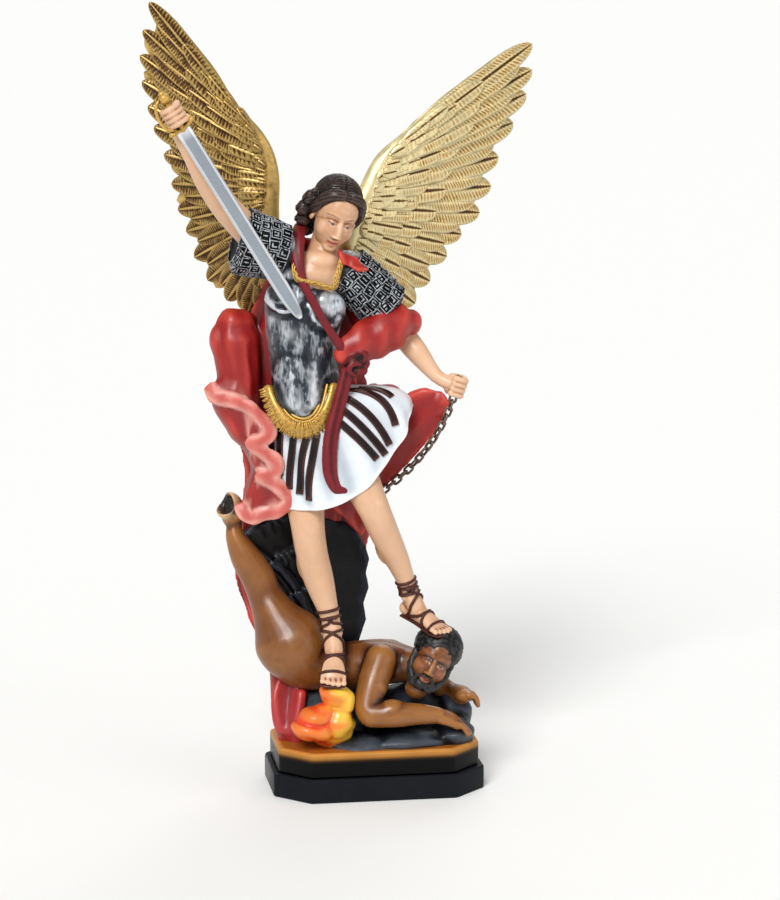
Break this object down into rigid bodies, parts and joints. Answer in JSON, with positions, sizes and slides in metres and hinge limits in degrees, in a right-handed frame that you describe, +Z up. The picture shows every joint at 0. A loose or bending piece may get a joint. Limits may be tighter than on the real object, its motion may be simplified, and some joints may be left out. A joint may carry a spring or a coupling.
{
  "type": "archangel statue",
  "caption": "Winged figure in a breastplate, with raised sword and hanging chain, standing on a fallen devil over a stepped octagonal plinth.",
  "frame": {"origin": "middle of the plinth's flat underside, at z = 0", "axes": "+Z up through the figure; the figure faces -Y, and its own right side, with the raised sword, is towards -X"},
  "size_m": [0.1502, 0.0705, 0.2934],
  "materials": {
    "plinth": "satin black paint",
    "painted_resin": "hand-painted resin, satin",
    "gilt_wing": "antique gold paint with a dark wash",
    "sword": "silver blade and gold hilt paint",
    "chain": "dark bronze"
  },
  "bodies": {
    "root": {"plinth": "plinth", "archangel_and_devil": "painted_resin", "right_wing": "gilt_wing", "left_wing": "gilt_wing", "sword": "sword", "chain": "chain"}
  },
  "joints": []
}
